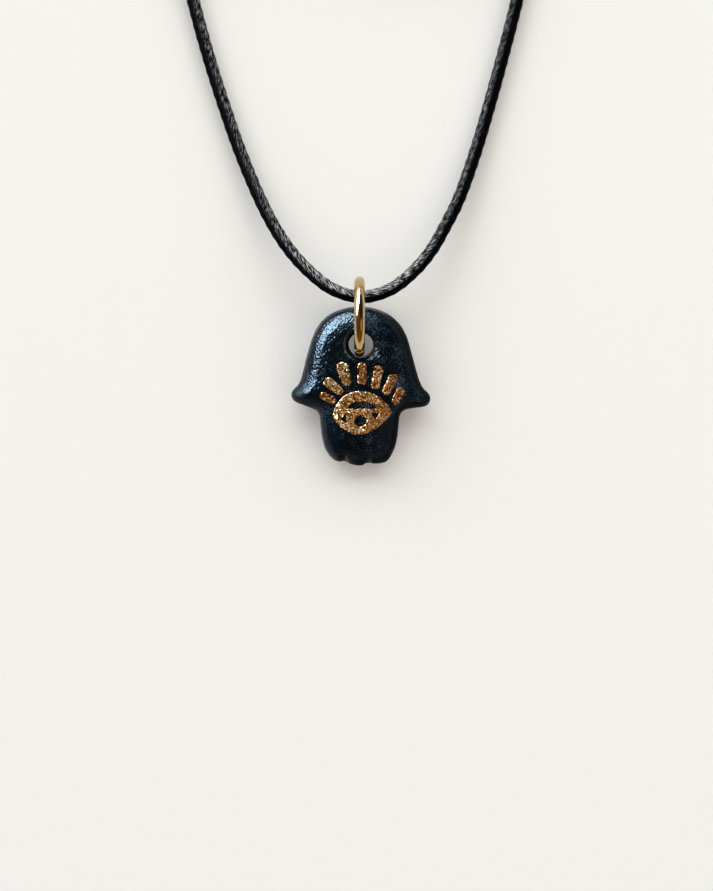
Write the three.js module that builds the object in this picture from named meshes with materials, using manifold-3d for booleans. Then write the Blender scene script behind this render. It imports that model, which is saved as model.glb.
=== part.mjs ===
// Hamsa charm on a waxed cord, laid flat: a glazed ceramic hand with a gold eye and lashes on its palm,
// a gold jump ring standing through its hole, and a necklace cord with a sprung clasp, its spare part coiled.
// Millimetres, +Z up, +X to the right and +Y from the fingers to the ring; the table is z = 0.
import * as THREE from 'three';
import { mergeVertices } from 'three/addons/utils/BufferGeometryUtils.js';
import Module from 'manifold-3d';

const wasm = await Module();
wasm.setup();

// Ceramic hand, measured from its finger tips (v = 0) up, and sideways from its middle line (u = 0)
const HAND_LENGTH = 17.83;
const HAND_THICKNESS = 3.2;
const DOME = { width: 10.7, drop: 3.68, flat: 3.5, pull: 1.8 };
const DOME_SPLAY = THREE.MathUtils.degToRad(19);
const FLANK_PULL = 0.4;
const PALM_WIDTH = 8.74;
const PALM_TOP = 5.2;
const FINGERS_WIDTH = 7.4;
const FINGERS_TOP = 1.55;
const FINGER_TIPS = [
  [-3.05, 0.74],
  [-2.2, 0.4],
  [-1.68, 0.54],
  [-1.1, 0.2],
  [-0.05, 0],
  [0.6, 0.12],
  [0.9, 0.42],
  [1.25, 0.26],
  [2.05, 0.22],
  [3.1, 0.5],
];
const THUMB_TIP_R = 0.85;
const THUMB_SHOULDER = THREE.MathUtils.degToRad(60);
const THUMB_UNDERSIDE = THREE.MathUtils.degToRad(-75);
const SHOULDER_PULL = 0.2;
const THUMB_CROOK = { inwards: 1.55, outwards: 0.08, up: 1.35 };
const FINGERS_TAPER = { inwards: 0.1, down: 1.1, outwards: 0.5, up: 0.9 };
const RIGHT_THUMB = { reach: 7.94, height: 7.52, sag: 0.25 };
const LEFT_THUMB = { reach: 7.66, height: 7.95, sag: 0.7 };
const EDGE_HEIGHT = 1.1;
const FRONT_SWELL = 3.0;
const BACK_ROUND = 0.7;
const SPINE_LOW = 3.2;
const SPINE_HIGH = 12.2;
const OUTLINE_POINTS = 116;
const CURVE_POINTS = 14;
const SLAB_RINGS = [0, 0.035, 0.08, 0.15, 0.25, 0.4, 0.6, 0.82];

// Hole in the wrist, with rounded lips
const HOLE_D = 2.96;
const HOLE_DROP = 4.16;
const HOLE_ASIDE = 0.13;
const HOLE_LIP = 0.65;
const HOLE_SIDES = 28;
const LIP_STEPS = 5;
const CUT_PAST = 1.0;

// Gold painted on the palm: the eye, and seven lashes from left to right that rise over the eye's top
const GOLD_THICKNESS = 0.12;
const GOLD_SEAT = 0.06;
const EYE_CURVE_SEGMENTS = 9;
const LASH_CURVE_SEGMENTS = 6;
const EYE = { left: -2.95, right: 3.68, corner: 5.67, tip: 6.12, top: 8.57, bottom: 3.64 };
const UPPER_LID = { middle: 0.1, tipIn: 0.6, tipRise: 1.25, rightPull: 1.8, leftPull: 1.8, cornerRise: 1.55 };
const LOWER_LID = { middle: -0.15, tipIn: 0.8, tipDrop: 1.0, rightPull: 1.65, leftPull: 1.15 };
const EYE_CORNER = { inwards: 0.1, down: 0.55 };
const LID_GAP = { left: -1.5, right: 2.05, line: 6.55, height: 0.9 };
const LID_PULL = { left: 0.73, right: 0.84 };
const LEFT_WHITE = { u: -1.65, top: 5.88, bottom: 4.94, width: 0.5, lean: 0.2, blunt: 0.1 };
const RIGHT_WHITE = { left: 1.24, right: 2.3, top: 6.12, bottom: 5.32 };
const PUPIL = { u: 0.07, v: 5.19, width: 1.44, height: 1.28 };
const LASHES = [
  { u: -3.55, rise: -0.77, lean: 154, length: 1.95, tip: 0.9, root: 0.84 },
  { u: -2.89, rise: 0.53, lean: 141, length: 2.55, tip: 1.16, root: 0.92 },
  { u: -1.7, rise: 1.93, lean: 107, length: 2.76, tip: 1.4, root: 1.0 },
  { u: 0.29, rise: 1.95, lean: 90, length: 2.6, tip: 1.02, root: 0.96 },
  { u: 1.97, rise: 1.54, lean: 77, length: 2.76, tip: 1.02, root: 0.98 },
  { u: 3.39, rise: 0.73, lean: 64, length: 2.6, tip: 0.98, root: 0.98 },
  { u: 4.3, rise: -0.55, lean: 62, length: 2.15, tip: 0.9, root: 0.84 },
];

// Jump ring, standing through the hole with its lowest point on the table
const RING_D = 9.0;
const RING_WIRE_D = 1.2;
const RING_STEPS = 48;
const RING_SIDES = 12;
const RING_SEAM = 0.08;
const RING_SEAM_TURN = 0.93;
const WIRE_CLEARANCE = 0.25;
const BRIDGE_GAP = 0.45;

// Cord and the coil of its spare length
const CORD_D = 1.5;
const CORD_SIDES = 8;
const CORD_STEPS = 76;
const TAIL_STEPS = 10;
const MEETING_GAP = 0.3;
const COIL_SIDES = 6;
const COIL_STEPS = 24;
const COIL_MIDDLE_D = 18;
const COIL_PITCH = 2.0;
const COIL_TURNS_IN = 2.5;
const COIL_TURNS_OUT = 3;
const COIL_CLIMB = 0.5;
const COIL_CENTRE_Y = 64;
const COIL_ENTRY_X = 18.95;
const LEAST_COIL_GAP = 0.4;

// Ties round the coil
const TIE_THICKNESS = 0.3;
const TIE_WIDTH = 2.4;
const TIE_GAP = 0.15;

// Cord ends: a glued cup with an eye
const CUP_BORE_GAP = 0.15;
const CUP_WALL = 0.35;
const CUP_DEPTH = 4.0;
const CUP_FLOOR = 0.8;
const CUP_BEAD = 0.18;
const CUP_ROUND = 0.35;
const EYE_WIRE_D = 0.8;
const EYE_HOLE_D = 1.3;
const EYE_SINK = 0.3;
const EYE_STEPS = 16;
const EYE_SIDES = 8;
const CUP_SIDES = 16;
const LEFT_END_X = -20;
const LEFT_CUP_Y = 50.5;
const RIGHT_CUP_Y = 72.5;

// Link ring between the left cup and the clasp, and catch ring on the right cup
const LINK_D = 5.0;
const LINK_WIRE_D = 0.7;
const LINK_SEAM_TURN = 0.75;
const LINK_EYE_CLEARANCE = 0.35;
const CATCH_D = 6.0;
const CATCH_WIRE_D = 0.8;
const CATCH_SEAM_TURN = 0.3;
const SMALL_RING_STEPS = 32;
const SMALL_RING_SIDES = 8;
const TABLE_CLEARANCE = 0.03;

// Clasp, measured from the middle of its tail eye (0, 0) towards its hook
const CLASP_LENGTH = 10.2;
const CLASP_WIDTH = 5.8;
const CLASP_THICKNESS = 2.8;
const CLASP_NECK = 1.15;
const CLASP_NECK_WIDTH = 1.5;
const CLASP_BEVEL = 0.35;
const CLASP_BELLY_SHIFT = 0.3;
const CLASP_SHOULDER = { out: 0.55, up: 0.75 };
const CLASP_PULL = { below: 2.8, above: 2.6, nose: 1.5 };
const HOOK_SPACE = { width: 3.2, length: 5.0 };
const HOOK_WALL = 1.2;
const PIVOT = { x: 1.35, y: 3.3 };
const GATE_REACH = 4.55;
const GATE_CLEARANCE = 0.15;
const GATE_SWEEP = { from: 45, to: 105 };
const GATE_PLAY = 4;
const CHEEK_R = 1.3;
const LEVER_PLATE = 0.9;
const LEVER_ROOT_R = 1.05;
const LEVER_ROOT_REACH = 2.6;
const LEVER_ROOT_SWEEP = { from: 50, to: 85 };
const SLOT_CLEARANCE = 0.2;
const SLOT_R = 1.5;
const SLOT_REACH = 3.2;
const SLOT_SWEEP = { from: 35, to: 135 };
const THUMB_NUB = { x: 2.95, y: 5.75, radius: 0.55, thickness: 2.2 };
const RIVET_D = 0.64;
const RIVET_CLEARANCE = 0.11;
const SPRING_THICKNESS = 0.2;
const SPRING_CLEARANCE = 0.12;
const SPRING_SWEEP = { from: 185, to: 330 };
const RIVET_SIDES = 12;

// Derived sizes and places
const handMiddleX = (LEFT_THUMB.reach - RIGHT_THUMB.reach) / 2;
const domeFoot = HAND_LENGTH - DOME.drop;
const holeHeight = HAND_LENGTH - HOLE_DROP;
const bridgeHeight = (HAND_LENGTH + holeHeight + HOLE_D / 2) / 2;
const handTilt = Math.asin((RING_WIRE_D + BRIDGE_GAP) / (bridgeHeight - BACK_ROUND));
const tiltRise = Math.sin(handTilt);
const tiltRun = Math.cos(handTilt);
const ringDepthInHole = (RING_D / 2 - (holeHeight - BACK_ROUND) * tiltRise) / tiltRun;
const holeWallAboveTips = (holeHeight - HOLE_D / 2) * tiltRun - ringDepthInHole * tiltRise;
const ringAboveTips = holeWallAboveTips + WIRE_CLEARANCE + RING_D / 2;
const fingerTipY = (EDGE_HEIGHT * tiltRise - ringAboveTips - RING_D / 2) / 2;
const ringCentre = new THREE.Vector3(handMiddleX, fingerTipY + ringAboveTips, RING_D / 2);
const cupBore = CORD_D / 2 + CUP_BORE_GAP;
const cupRadius = cupBore + CUP_WALL;
const cupLength = CUP_DEPTH + CUP_FLOOR;
const eyeRadius = (EYE_HOLE_D + EYE_WIRE_D) / 2;
const eyeOffset = cupLength + eyeRadius + EYE_WIRE_D / 2 - EYE_SINK;
const endHeight = LINK_WIRE_D + EYE_WIRE_D / 2 + LINK_EYE_CLEARANCE;
const linkRadius = (LINK_D - LINK_WIRE_D) / 2;
const linkHalfSpan = Math.sqrt(linkRadius ** 2 - (LINK_D / 2 - endHeight) ** 2);
const coilInnerR = COIL_MIDDLE_D / 2 - (COIL_PITCH * COIL_TURNS_OUT) / 2;
const coilEntryR = coilInnerR + COIL_PITCH * COIL_TURNS_IN;
const coilExitR = coilInnerR + COIL_PITCH * COIL_TURNS_OUT;
const coilCentreX = COIL_ENTRY_X - coilEntryR;
const coilHeight = TIE_THICKNESS + TIE_GAP + CORD_D / 2;
const coilTopHeight = coilHeight + COIL_PITCH;
const coilExitX = coilCentreX + coilExitR;
const hookSpaceY = CLASP_LENGTH - HOOK_WALL - HOOK_SPACE.length / 2;
const slotWidth = LEVER_PLATE + 2 * SLOT_CLEARANCE;

// Cord route from inside the left cup, down through the ring and up to the coil: [x, y, z]
const necklaceRoute = [
  [LEFT_END_X, LEFT_CUP_Y + CUP_DEPTH - MEETING_GAP, endHeight],
  [LEFT_END_X, LEFT_CUP_Y + 1, endHeight],
  [-20.05, 48.4, 1.15],
  [-19.68, 45.1, 0.85],
  [-18.87, 41.7, 0.78],
  [-17.35, 36.1, 0.78],
  [-15.6, 30.5, 0.82],
  [-13.65, 24.9, 1.0],
  [-11.35, 19.4, 1.45],
  [-9.65, 16.1, 1.95],
  [-7.9, 13.5, 2.45],
  [-5.75, 11.15, 3.0],
  [-3.1, 9.15, 3.55],
  [0.1, 8.3, 3.75],
  [3.3, 9.15, 3.55],
  [6.0, 11.25, 3.0],
  [7.95, 13.6, 2.45],
  [9.4, 16.1, 1.95],
  [11.05, 19.4, 1.45],
  [13.0, 24.9, 1.0],
  [14.65, 30.5, 0.82],
  [16.17, 36.1, 0.78],
  [17.6, 41.7, 0.78],
  [18.4, 45.4, 0.8],
  [18.85, 49.2, 0.95],
  [COIL_ENTRY_X, 53.2, 1.1],
  [COIL_ENTRY_X, 57.4, 1.18],
  [COIL_ENTRY_X, COIL_CENTRE_Y - CORD_D - MEETING_GAP, coilHeight],
];

// Short tail from the top layer of the coil into the right cup: [x, y, z]
const tailRoute = [
  [coilExitX, COIL_CENTRE_Y + CORD_D + MEETING_GAP, coilTopHeight],
  [coilExitX, COIL_CENTRE_Y + 3.2, coilTopHeight],
  [coilExitX, COIL_CENTRE_Y + 5.2, 2.55],
  [coilExitX, COIL_CENTRE_Y + 7.2, 1.75],
  [coilExitX, RIGHT_CUP_Y + 0.8, endHeight],
  [coilExitX, RIGHT_CUP_Y + CUP_DEPTH - MEETING_GAP, endHeight],
];

const charm = new THREE.Group();

function addPiece(parent, name, geometry, finish) {
  const piece = new THREE.Mesh(geometry, new THREE.MeshStandardMaterial(finish));
  piece.name = name;
  parent.add(piece);
  return piece;
}

const blackGlaze = { color: 0x14181c, roughness: 0.22, metalness: 0 };
const goldLustre = { color: 0xb07a30, roughness: 0.35, metalness: 1 };
const polishedGold = { color: 0xd9b06a, roughness: 0.15, metalness: 1 };
const waxedCord = { color: 0x1b1b1d, roughness: 0.6, metalness: 0 };
const tieStrip = { color: 0x2a2a2c, roughness: 0.8, metalness: 0 };
const springSteel = { color: 0x9a9a98, roughness: 0.3, metalness: 1 };

// Closed mesh to solid and back, for joining and cutting

function solidOf(geometry) {
  const bare = geometry.clone();
  bare.deleteAttribute('normal');
  bare.deleteAttribute('uv');
  const merged = mergeVertices(bare, 1e-4);
  const vertProperties = new Float32Array(merged.attributes.position.array);
  const triVerts = new Uint32Array(merged.index.array);
  return new wasm.Manifold(new wasm.Mesh({ numProp: 3, vertProperties, triVerts }));
}

function geometryOf(solid) {
  const mesh = solid.getMesh();
  const geometry = new THREE.BufferGeometry();
  geometry.setAttribute('position', new THREE.BufferAttribute(mesh.vertProperties, 3));
  geometry.setIndex(new THREE.BufferAttribute(mesh.triVerts, 1));
  geometry.computeVertexNormals();
  return geometry;
}

function plate(shape, thickness, curveSegments = 12) {
  const geometry = new THREE.ExtrudeGeometry(shape, { depth: thickness, bevelEnabled: false, curveSegments });
  return geometry.translate(0, 0, -thickness / 2);
}

function roundSection(radius, sides) {
  const corners = [];
  for (let side = 0; side < sides; side += 1) {
    const turn = (2 * Math.PI * side) / sides;
    corners.push(new THREE.Vector2(radius * Math.cos(turn), radius * Math.sin(turn)));
  }
  return new THREE.Shape(corners);
}

function tube(line, diameter, sides, steps) {
  return new THREE.ExtrudeGeometry(roundSection(diameter / 2, sides), { extrudePath: line, steps });
}

// Outline of the hand: each side runs from the top of the dome down to the fingers

function sideOfHand(thumb) {
  const side = new THREE.Path();
  const tip = new THREE.Vector2(thumb.reach - THUMB_TIP_R, thumb.height);
  const domeEnd = new THREE.Vector2(DOME.width / 2, domeFoot);
  const tipTop = new THREE.Vector2(
    tip.x + THUMB_TIP_R * Math.cos(THUMB_SHOULDER),
    tip.y + THUMB_TIP_R * Math.sin(THUMB_SHOULDER),
  );
  const palm = PALM_WIDTH / 2;
  const fingers = FINGERS_WIDTH / 2;
  const flare = domeEnd.y - tipTop.y;
  side.moveTo(0, HAND_LENGTH);
  side.bezierCurveTo(
    DOME.flat,
    HAND_LENGTH,
    domeEnd.x - DOME.pull * Math.sin(DOME_SPLAY),
    domeEnd.y + DOME.pull * Math.cos(DOME_SPLAY),
    domeEnd.x,
    domeEnd.y,
  );
  side.bezierCurveTo(
    domeEnd.x + FLANK_PULL * flare * Math.sin(DOME_SPLAY),
    domeEnd.y - FLANK_PULL * flare * Math.cos(DOME_SPLAY),
    tipTop.x - SHOULDER_PULL * flare * Math.sin(THUMB_SHOULDER),
    tipTop.y + SHOULDER_PULL * flare * Math.cos(THUMB_SHOULDER),
    tipTop.x,
    tipTop.y,
  );
  side.absarc(tip.x, tip.y, THUMB_TIP_R, THUMB_SHOULDER, THUMB_UNDERSIDE, true);
  side.bezierCurveTo(
    tip.x - THUMB_CROOK.inwards,
    tip.y - THUMB_TIP_R - thumb.sag,
    palm + THUMB_CROOK.outwards,
    PALM_TOP + THUMB_CROOK.up,
    palm,
    PALM_TOP,
  );
  side.bezierCurveTo(
    palm - FINGERS_TAPER.inwards,
    PALM_TOP - FINGERS_TAPER.down,
    fingers + FINGERS_TAPER.outwards,
    FINGERS_TOP + FINGERS_TAPER.up,
    fingers,
    FINGERS_TOP,
  );
  return side.getPoints(CURVE_POINTS);
}

function fingerTips() {
  const tips = new THREE.Path();
  const edge = FINGERS_WIDTH / 2;
  tips.moveTo(-edge, FINGERS_TOP);
  tips.splineThru([...FINGER_TIPS, [edge, FINGERS_TOP]].map((point) => new THREE.Vector2(...point)));
  return tips.getPoints(CURVE_POINTS / 2);
}

function handOutline() {
  const left = sideOfHand(LEFT_THUMB).map((point) => new THREE.Vector2(-point.x, point.y));
  const right = sideOfHand(RIGHT_THUMB).reverse();
  const corners = [...left, ...fingerTips().slice(1, -1), ...right];
  corners.pop();
  const spaced = new THREE.Path([...corners, corners[0]]).getSpacedPoints(OUTLINE_POINTS);
  spaced.pop();
  return spaced;
}

const outline = handOutline();

function distanceToEdge(point) {
  let least = Infinity;
  const nearest = new THREE.Vector3();
  const edge = new THREE.Line3();
  const place = new THREE.Vector3(point.x, point.y, 0);
  for (let index = 0; index < outline.length; index += 1) {
    const next = outline[(index + 1) % outline.length];
    edge.start.set(outline[index].x, outline[index].y, 0);
    edge.end.set(next.x, next.y, 0);
    edge.closestPointToPoint(place, true, nearest);
    least = Math.min(least, nearest.distanceTo(place));
  }
  return least;
}

function swell(share) {
  return share >= 1 ? 1 : Math.sqrt(1 - (1 - share) ** 2);
}

// Pillow of the hand: rings step in from the outline to its spine, swelling in front and flat behind.
// A raise lifts the whole front, which gives the skin that the gold is cut from.

function pillow(raise) {
  const count = outline.length;
  const positions = [];
  const triangles = [];
  const ringPlaces = SLAB_RINGS.map((share) => outline.map((point) => {
    const spine = new THREE.Vector2(0, THREE.MathUtils.clamp(point.y, SPINE_LOW, SPINE_HIGH));
    return point.clone().lerp(spine, share);
  }));
  const frontRings = [];
  const backRings = [];
  ringPlaces.forEach((places, ring) => {
    const depths = places.map((place) => (ring === 0 ? 0 : distanceToEdge(place)));
    frontRings.push(positions.length / 3);
    places.forEach((place, index) => {
      const rise = (HAND_THICKNESS - EDGE_HEIGHT) * swell(depths[index] / FRONT_SWELL);
      positions.push(place.x, place.y, EDGE_HEIGHT + rise + raise);
    });
    if (ring === 0) {
      backRings.push(frontRings[0]);
      return;
    }
    backRings.push(positions.length / 3);
    places.forEach((place, index) => {
      const fall = EDGE_HEIGHT * swell(depths[index] / BACK_ROUND);
      positions.push(place.x, place.y, EDGE_HEIGHT - fall);
    });
  });
  for (let ring = 0; ring + 1 < SLAB_RINGS.length; ring += 1) {
    for (let index = 0; index < count; index += 1) {
      const next = (index + 1) % count;
      const [outer, inner] = [frontRings[ring], frontRings[ring + 1]];
      triangles.push(outer + index, outer + next, inner + next, outer + index, inner + next, inner + index);
      const [rim, flat] = [backRings[ring], backRings[ring + 1]];
      triangles.push(rim + next, rim + index, flat + next, flat + next, rim + index, flat + index);
    }
  }
  const core = ringPlaces[ringPlaces.length - 1];
  for (const [a, b, c] of THREE.ShapeUtils.triangulateShape(core, [])) {
    const front = frontRings[frontRings.length - 1];
    const back = backRings[backRings.length - 1];
    triangles.push(front + a, front + b, front + c, back + c, back + b, back + a);
  }
  const geometry = new THREE.BufferGeometry();
  geometry.setAttribute('position', new THREE.Float32BufferAttribute(positions, 3));
  geometry.setIndex(triangles);
  return geometry;
}

function holeCutter() {
  const radius = HOLE_D / 2;
  const profile = [new THREE.Vector2(0, -CUT_PAST), new THREE.Vector2(radius + HOLE_LIP, -CUT_PAST)];
  for (let step = 0; step <= LIP_STEPS; step += 1) {
    const turn = (Math.PI / 2) * (step / LIP_STEPS);
    const height = HOLE_LIP * (1 - Math.cos(turn));
    profile.push(new THREE.Vector2(radius + HOLE_LIP * (1 - Math.sin(turn)), height));
  }
  for (let step = LIP_STEPS; step >= 0; step -= 1) {
    const turn = (Math.PI / 2) * (step / LIP_STEPS);
    const height = HAND_THICKNESS - HOLE_LIP * (1 - Math.cos(turn));
    profile.push(new THREE.Vector2(radius + HOLE_LIP * (1 - Math.sin(turn)), height));
  }
  profile.push(new THREE.Vector2(radius + HOLE_LIP, HAND_THICKNESS + CUT_PAST));
  profile.push(new THREE.Vector2(0, HAND_THICKNESS + CUT_PAST));
  const cutter = new THREE.LatheGeometry(profile, HOLE_SIDES).rotateX(Math.PI / 2);
  return cutter.translate(HOLE_ASIDE, holeHeight, 0);
}

// Gold shapes on the palm

function eyeShape() {
  const shape = new THREE.Shape();
  const { left, right, corner, tip, top, bottom } = EYE;
  shape.moveTo(left, corner);
  shape.bezierCurveTo(
    left + EYE_CORNER.inwards,
    corner - EYE_CORNER.down,
    LOWER_LID.middle - LOWER_LID.leftPull,
    bottom,
    LOWER_LID.middle,
    bottom,
  );
  shape.bezierCurveTo(
    LOWER_LID.middle + LOWER_LID.rightPull,
    bottom,
    right - LOWER_LID.tipIn,
    tip - LOWER_LID.tipDrop,
    right,
    tip,
  );
  shape.bezierCurveTo(
    right - UPPER_LID.tipIn,
    tip + UPPER_LID.tipRise,
    UPPER_LID.middle + UPPER_LID.rightPull,
    top,
    UPPER_LID.middle,
    top,
  );
  shape.bezierCurveTo(
    UPPER_LID.middle - UPPER_LID.leftPull,
    top,
    left,
    corner + UPPER_LID.cornerRise,
    left,
    corner,
  );
  const lid = new THREE.Path();
  lid.moveTo(LID_GAP.left, LID_GAP.line);
  lid.lineTo(LID_GAP.right, LID_GAP.line);
  const lidTop = LID_GAP.line + (4 / 3) * LID_GAP.height;
  const lidEnds = [LID_GAP.left, LID_GAP.line];
  lid.bezierCurveTo(LID_GAP.right - LID_PULL.right, lidTop, LID_GAP.left + LID_PULL.left, lidTop, ...lidEnds);
  const pupil = new THREE.Path();
  pupil.absellipse(PUPIL.u, PUPIL.v, PUPIL.width / 2, PUPIL.height / 2, 0, 2 * Math.PI, true);
  const whiteLeft = new THREE.Path();
  const leftMiddle = (LEFT_WHITE.top + LEFT_WHITE.bottom) / 2;
  const leftFoot = LEFT_WHITE.u + LEFT_WHITE.lean;
  whiteLeft.moveTo(LEFT_WHITE.u, LEFT_WHITE.top);
  whiteLeft.quadraticCurveTo(LEFT_WHITE.u - LEFT_WHITE.width, leftMiddle, leftFoot, LEFT_WHITE.bottom);
  whiteLeft.quadraticCurveTo(LEFT_WHITE.u, leftMiddle, leftFoot, LEFT_WHITE.top - LEFT_WHITE.blunt);
  const whiteRight = new THREE.Path();
  const rightMiddle = (RIGHT_WHITE.left + RIGHT_WHITE.right) / 2;
  whiteRight.moveTo(RIGHT_WHITE.left, RIGHT_WHITE.top);
  whiteRight.lineTo(rightMiddle, RIGHT_WHITE.bottom);
  whiteRight.lineTo(RIGHT_WHITE.right, RIGHT_WHITE.top);
  shape.holes.push(lid, pupil, whiteLeft, whiteRight);
  return shape;
}

function lashShape(lash) {
  const shape = new THREE.Shape();
  const tipCentre = (lash.length - lash.tip) / 2;
  const rootCentre = (lash.root - lash.length) / 2;
  shape.absarc(tipCentre, 0, lash.tip / 2, -Math.PI / 2, Math.PI / 2, false);
  shape.absarc(rootCentre, 0, lash.root / 2, Math.PI / 2, (3 * Math.PI) / 2, false);
  return shape;
}

function goldStroke(shape, curveSegments, place) {
  const geometry = plate(shape, 2 * (HAND_THICKNESS + CUT_PAST), curveSegments);
  if (place) {
    geometry.rotateZ(THREE.MathUtils.degToRad(place.lean)).translate(place.u, EYE.top + place.rise, 0);
  }
  return geometryOf(solidOf(geometry).intersect(goldSkin));
}

const goldSkin = solidOf(pillow(GOLD_SEAT + GOLD_THICKNESS)).subtract(solidOf(pillow(GOLD_SEAT)));

const hand = new THREE.Group();
hand.rotation.x = handTilt;
hand.position.set(handMiddleX, fingerTipY, -BACK_ROUND * tiltRise);
charm.add(hand);
addPiece(hand, 'charm_body', geometryOf(solidOf(pillow(0)).subtract(solidOf(holeCutter()))), blackGlaze);
addPiece(hand, 'gold_eye', goldStroke(eyeShape(), EYE_CURVE_SEGMENTS), goldLustre);
LASHES.forEach((lash, index) => {
  const stroke = goldStroke(lashShape(lash), LASH_CURVE_SEGMENTS, lash);
  addPiece(hand, `gold_lash_${index + 1}`, stroke, goldLustre);
});

// Wire rings with a sawn seam, standing in the YZ plane round their own centre

class RingLine extends THREE.Curve {
  constructor(radius, seam, seamTurn) {
    super();
    this.radius = radius;
    this.seamAngle = seam / radius;
    this.start = 2 * Math.PI * seamTurn + this.seamAngle / 2;
  }

  getPoint(share, target = new THREE.Vector3()) {
    const angle = this.start + share * (2 * Math.PI - this.seamAngle);
    return target.set(0, -this.radius * Math.cos(angle), -this.radius * Math.sin(angle));
  }
}

function wireRing(outerD, wireD, seamTurn, sides, steps) {
  return tube(new RingLine((outerD - wireD) / 2, RING_SEAM, seamTurn), wireD, sides, steps);
}

const jumpWire = wireRing(RING_D, RING_WIRE_D, RING_SEAM_TURN, RING_SIDES, RING_STEPS);
const jumpRing = addPiece(charm, 'jump_ring', jumpWire, polishedGold);
jumpRing.position.copy(ringCentre);

// Cord, its coil and its tail

function lineThrough(route) {
  return new THREE.CatmullRomCurve3(route.map((point) => new THREE.Vector3(...point)), false, 'centripetal');
}

function coilPoints() {
  const points = [];
  const turns = COIL_TURNS_IN + COIL_CLIMB + COIL_TURNS_OUT;
  points.push(new THREE.Vector3(COIL_ENTRY_X, COIL_CENTRE_Y - CORD_D, coilHeight));
  for (let step = 0; step <= turns * COIL_STEPS; step += 1) {
    const turn = step / COIL_STEPS;
    const reversed = THREE.MathUtils.clamp(turn - COIL_TURNS_IN, 0, COIL_CLIMB);
    const out = Math.max(turn - COIL_TURNS_IN - COIL_CLIMB, 0);
    const inward = Math.min(turn, COIL_TURNS_IN) + Math.min(reversed, COIL_CLIMB - reversed);
    const radius = coilEntryR + COIL_PITCH * (out - inward);
    const height = coilHeight + COIL_PITCH * THREE.MathUtils.smoothstep(reversed, 0, COIL_CLIMB);
    const angle = 2 * Math.PI * turn;
    points.push(new THREE.Vector3(
      coilCentreX + radius * Math.cos(angle),
      COIL_CENTRE_Y + radius * Math.sin(angle),
      height,
    ));
  }
  points.push(new THREE.Vector3(coilExitX, COIL_CENTRE_Y + CORD_D, coilTopHeight));
  return points;
}

function leastGap(points, diameter) {
  const apart = Math.ceil(COIL_STEPS / 2);
  let least = Infinity;
  for (let first = 0; first < points.length; first += 1) {
    for (let second = first + apart; second < points.length; second += 1) {
      least = Math.min(least, points[first].distanceTo(points[second]));
    }
  }
  return least - diameter;
}

const necklaceLine = lineThrough(necklaceRoute);
const coilTurns = coilPoints();
const coilLine = new THREE.CatmullRomCurve3(coilTurns, false, 'centripetal');
coilLine.arcLengthDivisions = 4 * coilTurns.length;
const tailLine = lineThrough(tailRoute);
const cordLength = necklaceLine.getLength() + coilLine.getLength() + tailLine.getLength() + 2 * MEETING_GAP;
const coilGap = leastGap(coilLine.getSpacedPoints(4 * coilTurns.length), CORD_D);
console.log(`cord length ${cordLength.toFixed(1)} mm`);
console.log(`least gap between turns of the coil ${coilGap.toFixed(2)} mm, over ${LEAST_COIL_GAP} mm wanted`);

addPiece(charm, 'cord_necklace', tube(necklaceLine, CORD_D, CORD_SIDES, CORD_STEPS), waxedCord);
addPiece(charm, 'cord_coil', tube(coilLine, CORD_D, COIL_SIDES, coilTurns.length - 1), waxedCord);
addPiece(charm, 'cord_tail', tube(tailLine, CORD_D, CORD_SIDES, TAIL_STEPS), waxedCord);

// Ties: a strip wrapped once round all the turns, on the far and near sides of the coil

function roundedBox(Path, low, high, radius) {
  const box = new Path();
  box.moveTo(low.x + radius, low.y);
  box.lineTo(high.x - radius, low.y);
  box.absarc(high.x - radius, low.y + radius, radius, -Math.PI / 2, 0, false);
  box.lineTo(high.x, high.y - radius);
  box.absarc(high.x - radius, high.y - radius, radius, 0, Math.PI / 2, false);
  box.lineTo(low.x + radius, high.y);
  box.absarc(low.x + radius, high.y - radius, radius, Math.PI / 2, Math.PI, false);
  box.lineTo(low.x, low.y + radius);
  box.absarc(low.x + radius, low.y + radius, radius, Math.PI, (3 * Math.PI) / 2, false);
  return box;
}

function coilTie(side) {
  const held = coilTurns.filter((point) => {
    const beside = Math.abs(point.x - coilCentreX) < TIE_WIDTH;
    return beside && (point.y - COIL_CENTRE_Y) * side > 0;
  });
  const reach = held.map((point) => (point.y - COIL_CENTRE_Y) * side);
  const slack = CORD_D / 2 + TIE_GAP;
  const low = new THREE.Vector2(Math.min(...reach) - slack, coilHeight - slack);
  const high = new THREE.Vector2(Math.max(...reach) + slack, coilTopHeight + slack);
  const strip = new THREE.Vector2(TIE_THICKNESS, TIE_THICKNESS);
  const bend = CORD_D / 2;
  const outerLow = low.clone().sub(strip);
  const outerHigh = high.clone().add(strip);
  const shape = roundedBox(THREE.Shape, outerLow, outerHigh, bend + TIE_THICKNESS);
  shape.holes.push(roundedBox(THREE.Path, low, high, bend));
  const geometry = plate(shape, TIE_WIDTH, 4);
  return geometry.rotateX(Math.PI / 2).rotateZ((side * Math.PI) / 2).translate(coilCentreX, COIL_CENTRE_Y, 0);
}

addPiece(charm, 'coil_tie_far', coilTie(1), tieStrip);
addPiece(charm, 'coil_tie_near', coilTie(-1), tieStrip);

// Cord ends: a turned cup with a bead at its mouth, and an eye on its floor

function wireEye() {
  return new THREE.TorusGeometry(eyeRadius, EYE_WIRE_D / 2, EYE_SIDES, EYE_STEPS);
}

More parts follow.
